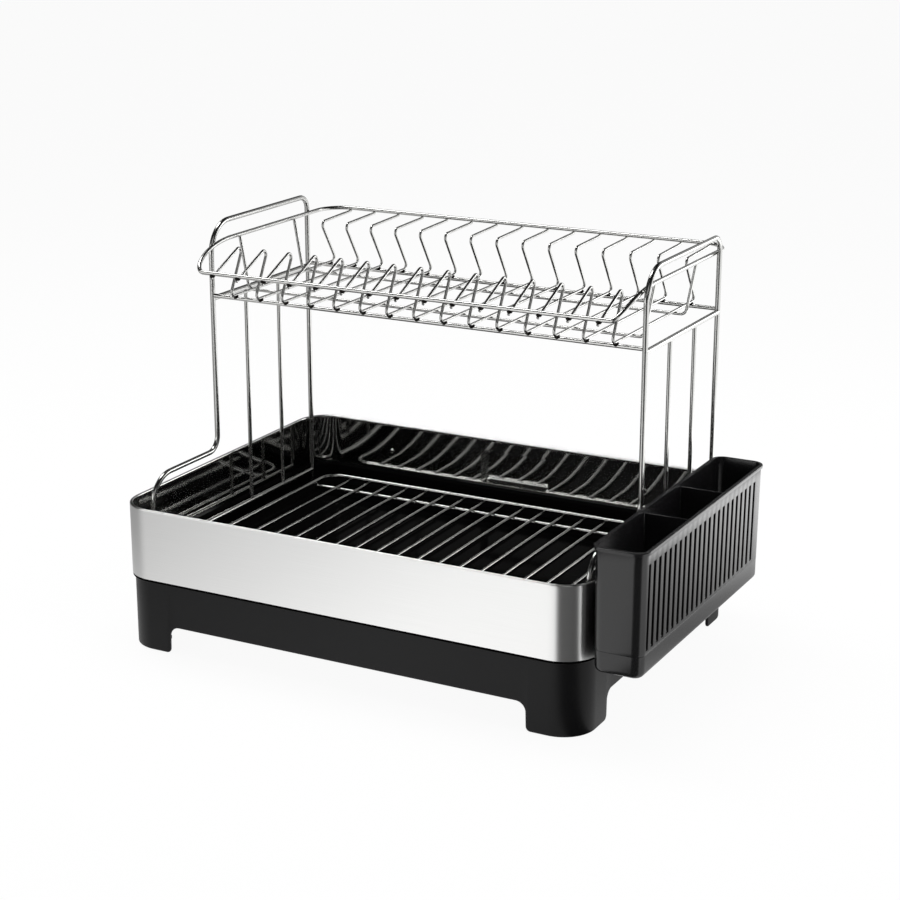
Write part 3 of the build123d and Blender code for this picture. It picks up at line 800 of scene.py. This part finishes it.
hoop_path = bent_path(
    [
        (-hoop_reach, foot_front, foot_end),
        (-hoop_reach, foot_front, arm_height),
        (-hoop_reach, leg_front, arm_height),
        (-hoop_reach, leg_front, handle_height),
        (-hoop_reach, leg_back, handle_height),
        (-hoop_reach, leg_back, foot_end),
    ],
    hoop_bends, 14,
)
left_frame = {"hoop": tube(hoop_path, hoop_radius, 20, x_axis)}
for bar, front, height in (
    ("crossbar", leg_front, crossbar_height), ("floor_bar", foot_front, floor_bar_height),
):
    bar_ends = [(-hoop_reach, front, height), (-hoop_reach, leg_back, height)]
    left_frame[bar] = tube(bar_ends, hoop_radius, 20, x_axis)
for post, place in post_places.items():
    post_ends = [(-hoop_reach, place, floor_bar_height), (-hoop_reach, place, crossbar_height)]
    left_frame[post] = tube(post_ends, post_radius, 16, x_axis)
for part, shape in left_frame.items():
    make_piece(f"left_{part}", shape, [wire_steel], "upper_tier", [f"left_{part}"])
    make_piece(f"right_{part}", mirrored(shape), [wire_steel], "upper_tier", [f"right_{part}"])

# Plate tier: rim, rails, long wires and folded plate wires of polished stainless wire, spot-welded
# where they cross. The rim dips round its front corners to a lower front run.

weld_sink = 0.0001
rim_radius = 0.002
rim_side = hoop_reach - hoop_radius - rim_radius + weld_sink
rim_height = 0.3643
rim_back = 0.188
rim_back_corner = 0.028
rim_front = -0.067
rim_front_height = 0.343
rim_corner_length = 0.0636
rim_corner_width = 0.0118
rim_corner_power = 2.8
rim_ease_share = 0.4


def rim_drop(share):
    """Front corner of the rim: a squarish quarter turn in plan, falling by a line eased at its ends."""
    turn = share * pi / 2
    power = 2 / rim_corner_power
    ease = (1 - rim_ease_share) * share + rim_ease_share * share ** 2 * (3 - 2 * share)
    return np.stack([
        rim_side - rim_corner_width * (1 - np.sin(turn) ** power),
        rim_front + rim_corner_length * (1 - np.maximum(np.cos(turn), 0) ** power),
        rim_front_height + (rim_height - rim_front_height) * ease,
    ], axis=1)


right_rim = np.vstack([
    [(0, rim_front, rim_front_height)],
    rim_drop(np.linspace(0, 1, 24)),
    bent_path([(rim_side, 0, rim_height), (rim_side, rim_back, rim_height), (0, rim_back, rim_height)],
              [rim_back_corner], 14)[1:-1],
    [(0, rim_back, rim_height)],
])
left_rim = right_rim[-2:0:-1] * [-1, 1, 1]
rim_path = np.vstack([right_rim, left_rim])
make_wire("basket_rim", rim_path, rim_radius, 18, z_axis, "upper_tier", closed=True)

rail_height = 0.3115
rail_overlap = 0.001
rail_reach = hoop_reach - hoop_radius + rail_overlap
for rail, place in (("front_rail", leg_front), ("back_rail", leg_back)):
    rail_ends = [(-rail_reach, place, rail_height), (rail_reach, place, rail_height)]
    make_wire(rail, rail_ends, rim_radius, 18, z_axis, "upper_tier")

plate_radius = 0.0014
long_radius = 0.0015
plate_floor = rail_height + rim_radius + plate_radius - weld_sink
long_height = plate_floor - plate_radius - long_radius + weld_sink
long_foot = 0.2085
long_top = rim_side - rim_radius - long_radius + weld_sink
long_bend = 0.006
long_places = {"front_long_wire": 0.010, "back_long_wire": 0.109}
for wire, place in long_places.items():
    long_path = bent_path(
        [(-long_top, place, rim_height), (-long_foot, place, long_height), (long_foot, place, long_height),
         (long_top, place, rim_height)],
        [long_bend, long_bend], 8,
    )
    make_wire(wire, long_path, long_radius, 14, y_axis, "upper_tier")

plate_pitch = 0.02835
plate_count = 15
plate_bend = 0.0044
under_rim = rim_radius + plate_radius - weld_sink
back_fold = (0.1292, 0.3589)
stop_foot = 0.1579
prong_foot = -0.0385
front_fold = (-0.0125, 0.3643)
front_pass = rim_front_height - under_rim
front_overhang = 0.003
front_slope = (front_fold[1] - front_pass) / (front_fold[0] - rim_front)
for number in range(plate_count):
    x = (number - (plate_count - 1) / 2) * plate_pitch
    plate_path = bent_path(
        [
            (x, rim_back + rim_radius, rim_height - under_rim),
            (x, *back_fold),
            (x, stop_foot, plate_floor),
            (x, prong_foot, plate_floor),
            (x, *front_fold),
            (x, rim_front - front_overhang, front_pass - front_slope * front_overhang),
        ],
        [plate_bend] * 4, 8,
    )
    make_wire(f"plate_wire_{number + 1:02d}", plate_path, plate_radius, 12, x_axis, "upper_tier")

# Spot welds: a small fused nugget where each plate wire lies on a rail or passes under the rim's front. The
# steel there is squeezed out between the wires and left dark and dull by the heat.

weld_scale_size = 0.0006
weld_steel = new_material("heat_darkened_weld_steel")
weld_place = add_node(weld_steel, "TexCoord")
weld_scale = add_node(
    weld_steel, "TexNoise", {"Vector": weld_place.outputs["Object"], "Scale": 1 / weld_scale_size}
)
weld_tone = add_node(
    weld_steel, "Mix", {"Factor": weld_scale.outputs[0], "A": linear("#1b1a19"), "B": linear("#302e2c")},
    data_type="RGBA",
)
weld_shader = add_node(
    weld_steel, "BsdfPrincipled", {"Base Color": weld_tone.outputs[2], "Metallic": 1.0, "Roughness": 0.45}
)
add_node(weld_steel, "OutputMaterial", {"Surface": weld_shader.outputs[0]})

weld_reach = 0.0028
weld_height = 0.0022
weld_shift = 0.0005
weld_turn = np.linspace(0.15, pi - 0.15, 9)
weld_steps = np.stack([-weld_height * np.cos(weld_turn), weld_reach * np.sin(weld_turn)], axis=1)
rail_top = rail_height + rim_radius
weld_places = [
    (leg_front - weld_shift, rail_top - weld_shift), (leg_back, rail_top),
    (rim_front, rim_front_height - rim_radius),
]
welds = [
    lathe(weld_steps, ((number - (plate_count - 1) / 2) * plate_pitch, *place), (0, 0, 1), 12)
    for number in range(plate_count) for place in weld_places
]
make_piece("spot_welds", joined(welds), [weld_steel], "upper_tier", [])

# Lower rack: a flat grid of the same wire, which lifts out. Two cross wires rest on the tub's ledge, the
# floor wires run over them from front to back, and the frame with its rounded corners lies on top.

rack_half_width = 0.207
rack_half_depth = 0.1517
rack_corner = 0.020
rack_wire_radius = 0.002
floor_wire_radius = 0.0015
rack_frame_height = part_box("rack_frame")[1].z - rack_wire_radius
wire_low, wire_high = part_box("rack_floor_wire_01")
floor_wire_height = (wire_low.z + wire_high.z) / 2
cross_low, cross_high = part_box("rack_front_cross_wire")
cross_height = (cross_low.z + cross_high.z) / 2
back_right = bent_path(
    [(rack_half_width, 0, rack_frame_height), (rack_half_width, rack_half_depth, rack_frame_height),
     (0, rack_half_depth, rack_frame_height)],
    [rack_corner], 14,
)
back_half = np.vstack([back_right[:-1], back_right[-2::-1] * [-1, 1, 1]])
rack_path = np.vstack([back_half[:-1], (back_half[::-1] * [1, -1, 1])[:-1]])
make_wire("rack_frame", rack_path, rack_wire_radius, 18, z_axis, "lower_rack", closed=True)
rack_reach = rack_half_width + rack_wire_radius
cross_place = 0.129
for wire, place in (("rack_front_cross_wire", -cross_place), ("rack_back_cross_wire", cross_place)):
    cross_ends = [(-rack_reach, place, cross_height), (rack_reach, place, cross_height)]
    make_wire(wire, cross_ends, rack_wire_radius, 18, z_axis, "lower_rack")

rack_pitch = 0.0227
rack_wire_count = 17
floor_wire_reach = rack_half_depth + rack_wire_radius
for number in range(rack_wire_count):
    x = (number - (rack_wire_count - 1) / 2) * rack_pitch
    floor_ends = [(x, -floor_wire_reach, floor_wire_height), (x, floor_wire_reach, floor_wire_height)]
    name = f"rack_floor_wire_{number + 1:02d}"
    make_wire(name, floor_ends, floor_wire_radius, 14, z_axis, "lower_rack")

# Cutlery caddy: a box moulded in ABS like the base's, its outer wall slotted from end to end. A lip stiffens
# its mouth, two dividers make three bays, and two hooks hang it over the band.

caddy_gap = 0.001
caddy_front = -0.174
caddy_half = np.array([0.02525, 0.14475])
caddy_centre = np.array([tub_half[0] + caddy_gap + caddy_half[0], caddy_front + caddy_half[1]])
caddy_top = 0.1786
caddy_bottom = 0.0657
caddy_seam = 0.0865
caddy_corner = 0.012
caddy_wall = 0.002
caddy_lip = 0.0015
caddy_lip_height = 0.003
caddy_draft = 0.0013
slot_low = 0.0897
slot_high = 0.1665
slot_width = 0.0055
slot_pitch = 0.0113
slot_count = 23
first_slot = -0.160


def caddy_rings(stations, insets, heights):
    """Rings round the caddy at insets from its outer wall, which leans inward toward the bottom."""
    insets = np.asarray(insets, float)[:, None, None]
    heights = np.asarray(heights, float)[:, None, None]
    side = insets + caddy_lip + caddy_draft * (caddy_top - heights) / (caddy_top - caddy_bottom)
    reach = stations[:, :2] * (caddy_half - caddy_corner)
    plan = caddy_centre + reach + (caddy_corner - side) * stations[:, 2:]
    return np.concatenate([plan, np.broadcast_to(heights, plan.shape[:2] + (1,))], axis=2)


# The caddy's ABS has a finer and shallower grain than the base, drawn 0.2 mm across so that it shows, and its
# faces come up a little greyer and glossier.
caddy_grain_size = 0.0002
caddy_flow_size = 0.04
caddy_abs = new_material("fine_grained_black_abs")
caddy_place = add_node(caddy_abs, "TexCoord")
caddy_grain = add_node(
    caddy_abs, "TexNoise", {"Vector": caddy_place.outputs["Object"], "Scale": 1 / caddy_grain_size}
)
caddy_flow = add_node(
    caddy_abs, "TexNoise", {"Vector": caddy_place.outputs["Object"], "Scale": 1 / caddy_flow_size}
)
caddy_tone = add_node(
    caddy_abs, "Mix", {"Factor": caddy_flow.outputs[0], "A": linear("#0e0e0f"), "B": linear("#141415")},
    data_type="RGBA",
)
caddy_gloss = add_node(
    caddy_abs, "MapRange", {"Value": caddy_flow.outputs[0], "To Min": 0.18, "To Max": 0.26}
)
caddy_bump = add_node(
    caddy_abs, "Bump", {"Height": caddy_grain.outputs[0], "Strength": 0.08, "Distance": 0.00003}
)
caddy_shader = add_node(
    caddy_abs, "BsdfPrincipled",
    {"Base Color": caddy_tone.outputs[2], "Roughness": caddy_gloss.outputs[0], "IOR": 1.54,
     "Normal": caddy_bump.outputs[0]},
)
add_node(caddy_abs, "OutputMaterial", {"Surface": caddy_shader.outputs[0]})

slot_middles = first_slot + slot_pitch * np.arange(slot_count)
slot_edges = (slot_middles[:, None] + np.array([-0.5, 0.5]) * slot_width).ravel()
slot_shares = np.clip((slot_edges - caddy_centre[1]) / (caddy_half[1] - caddy_corner), -0.999, 0.999)
caddy_stations = tub_stations([], slot_shares, 10)
shell_heights = [caddy_seam, slot_low, slot_high, caddy_top]
shell_vertices, shell_faces = outward(skin(caddy_rings(caddy_stations, np.zeros(4), shell_heights)))
shell_cells = np.array(shell_faces[:-2])
cell_middles = shell_vertices[shell_cells].mean(axis=1)
outer_depth = 0.004
middle_reach = 0.0006
open_cells = (
    (cell_middles[:, 0] > caddy_centre[0] + caddy_half[0] - outer_depth)
    & (cell_middles[:, 2] > slot_low) & (cell_middles[:, 2] < slot_high)
    & (np.abs(cell_middles[:, 1][:, None] - slot_middles).min(axis=1) < middle_reach)
)
shell = make_piece(
    "caddy_shell", (shell_vertices, shell_cells[~open_cells].tolist()), [caddy_abs], "caddy",
    ["caddy_body"],
)


def soften(piece, wall=0.0, edge=0.0004):
    """Give a sheet its wall, and round all sharp edges of a piece a little."""
    if wall:
        thick = piece.modifiers.new("wall", "SOLIDIFY")
        thick.thickness = wall
        thick.offset = -1.0
        thick.use_even_offset = True
    rounding = piece.modifiers.new("rounding", "BEVEL")
    rounding.width = edge
    rounding.segments = 2
    rounding.limit_method = "ANGLE"
    rounding.angle_limit = radians(40)


soften(shell, caddy_wall, 0.0007)

lip_low = caddy_top - caddy_lip_height
lip_sink = 0.0005
lip_back = 0.0012
lip_profile = bent_path(
    [(lip_sink, lip_low), (-caddy_lip, lip_low), (-caddy_lip, caddy_top), (caddy_wall * 0.75, caddy_top),
     (lip_back, lip_low)],
    [0.0003, 0.0007, 0.0005], 5,
)
lip_rings = caddy_rings(caddy_stations, lip_profile[:, 0], lip_profile[:, 1])
make_piece(
    "caddy_lip", outward(skin(lip_rings, closed=True)), [caddy_abs], "caddy", [],
)


def block(low, high):
    """Box between two corners."""
    corners = np.array([(x, y) for x, y in ((0, 0), (1, 0), (1, 1), (0, 1))])
    low, high = np.asarray(low, float), np.asarray(high, float)
    plan = low[:2] + corners * (high - low)[:2]
    return outward(skin(np.stack([np.hstack([plan, np.full((4, 1), z)]) for z in (low[2], high[2])])))


caddy_floor_low = 0.0893
caddy_floor_high = 0.0913
divider_drop = 0.0025
divider_top = caddy_top - divider_drop
divider_half = 0.0009
divider_gap = 0.0008
divider_places = caddy_front + 2 * caddy_half[1] * np.array([0.376, 0.665])
divider_reach = caddy_half[0] - caddy_lip - caddy_wall
dividers = [
    block((caddy_centre[0] - divider_reach + divider_gap, place - divider_half, caddy_floor_low),
          (caddy_centre[0] + divider_reach - divider_gap, place + divider_half, divider_top))
    for place in divider_places
]
soften(make_piece("caddy_dividers", joined(dividers), [caddy_abs], "caddy", []))

# The caddy's floor has five drain holes in each bay. It is laid out as a grid, with the holes left out of it.
drain_half = np.array([0.0115, 0.002])
bays_front = -0.1725
bays_back = 0.114
bay_drains = 5
floor_inset = 0.0035
bay_ends = np.hstack([bays_front, divider_places, bays_back])
drain_shares = np.arange(1, bay_drains + 1)
drain_middles = (
    bay_ends[:-1, None] + np.diff(bay_ends)[:, None] * drain_shares / (bay_drains + 1)
).ravel()
floor_turn = np.linspace(pi / 2, 0, 4)
floor_corner = caddy_corner - floor_inset
floor_end = caddy_half[1] - caddy_corner + floor_corner * np.sin(floor_turn)
floor_side = caddy_half[0] - caddy_corner + floor_corner * np.cos(floor_turn)
drain_edges = (drain_middles[:, None] + [-drain_half[1], drain_half[1]]).ravel()
floor_y = np.hstack([caddy_centre[1] - floor_end, drain_edges, caddy_centre[1] + floor_end[::-1]])
floor_half = np.hstack([floor_side, np.full(len(drain_edges), floor_side[-1]), floor_side[::-1]])
drain_side = np.full(len(floor_y), drain_half[0])
floor_x = caddy_centre[0] + np.stack([-floor_half, -drain_side, drain_side, floor_half], axis=1)
floor_grid = np.stack(
    [floor_x, np.tile(floor_y[:, None], 4), np.full(floor_x.shape, caddy_floor_high)], axis=2
)
floor_index = np.arange(floor_grid[..., 0].size).reshape(floor_grid.shape[:2])
floor_cells = np.stack(
    [floor_index[:-1, :-1], floor_index[:-1, 1:], floor_index[1:, 1:], floor_index[1:, :-1]], axis=2
)
kept_cells = np.ones(floor_cells.shape[:2], bool)
kept_cells[len(floor_turn):-len(floor_turn):2, 1] = False
floor_shape = (floor_grid.reshape(-1, 3), floor_cells[kept_cells].tolist())
caddy_floor = make_piece("caddy_floor", floor_shape, [caddy_abs], "caddy", [])
soften(caddy_floor, caddy_floor_high - caddy_floor_low)

# Two hooks reach over the band's hem and down its inner side. Below each, a bumper keeps the caddy upright.
hook_gap = 0.0003
hook_wall = 0.0024
hook_drop = 0.014
hook_half_width = 0.012
hook_half_spacing = 0.08
hook_sink = 0.0015
bumper_face = 0.2403
bumper_half_width = 0.0025
bumper_low = 0.095
bumper_high = 0.125
bumper_sink = 0.0005
hook_top = band_high + hook_gap + hook_wall
hook_face = tub_half[0] - band_wall - hook_gap
wall_face = tub_half[0] + caddy_gap + caddy_lip + hook_sink
hook_outline = np.array([
    (hook_face - hook_wall, hook_top), (wall_face, hook_top), (wall_face, hook_top - hook_wall),
    (hook_face, hook_top - hook_wall), (hook_face, hook_top - hook_wall - hook_drop),
    (hook_face - hook_wall, hook_top - hook_wall - hook_drop),
])
fittings = []
for place in caddy_centre[1] + np.array([-hook_half_spacing, hook_half_spacing]):
    hook = np.stack([
        np.insert(hook_outline, 1, place + side * hook_half_width, axis=1) for side in (-1, 1)
    ])
    fittings.append(outward(skin(hook)))
    fittings.append(block(
        (bumper_face, place - bumper_half_width, bumper_low),
        (wall_face + bumper_sink, place + bumper_half_width, bumper_high),
    ))
soften(make_piece("caddy_hooks", joined(fittings), [caddy_abs], "caddy", []), edge=0.0006)

# Drip cup: the caddy's separate bottom, of the same ABS, with a soft lower edge and a collar that slips up
# inside the caddy. A hairline shows where the two meet.

collar_gap = 0.0003
collar_inset = caddy_wall + collar_gap
collar_wall = 0.0016
collar_height = 0.0025
collar_top = caddy_seam + collar_height
floor_run = 0.006
under_run = 0.008
cup_profile = bent_path(
    [
        (collar_inset + collar_wall + floor_run, caddy_bottom + caddy_wall),
        (collar_inset + collar_wall, caddy_bottom + caddy_wall), (collar_inset + collar_wall, collar_top),
        (collar_inset, collar_top), (collar_inset, caddy_seam - hair), (hair, caddy_seam - hair),
        (0, caddy_bottom), (under_run, caddy_bottom),
    ],
    [0.003, 0.0005, 0.0004, 0.0002, 0.0004, 0.006], 7,
)
cup_shape = outward(skin(caddy_rings(caddy_stations, cup_profile[:, 0], cup_profile[:, 1])))
make_piece("drip_cup", cup_shape, [caddy_abs], "drip_cup", ["caddy_drip_cup"])
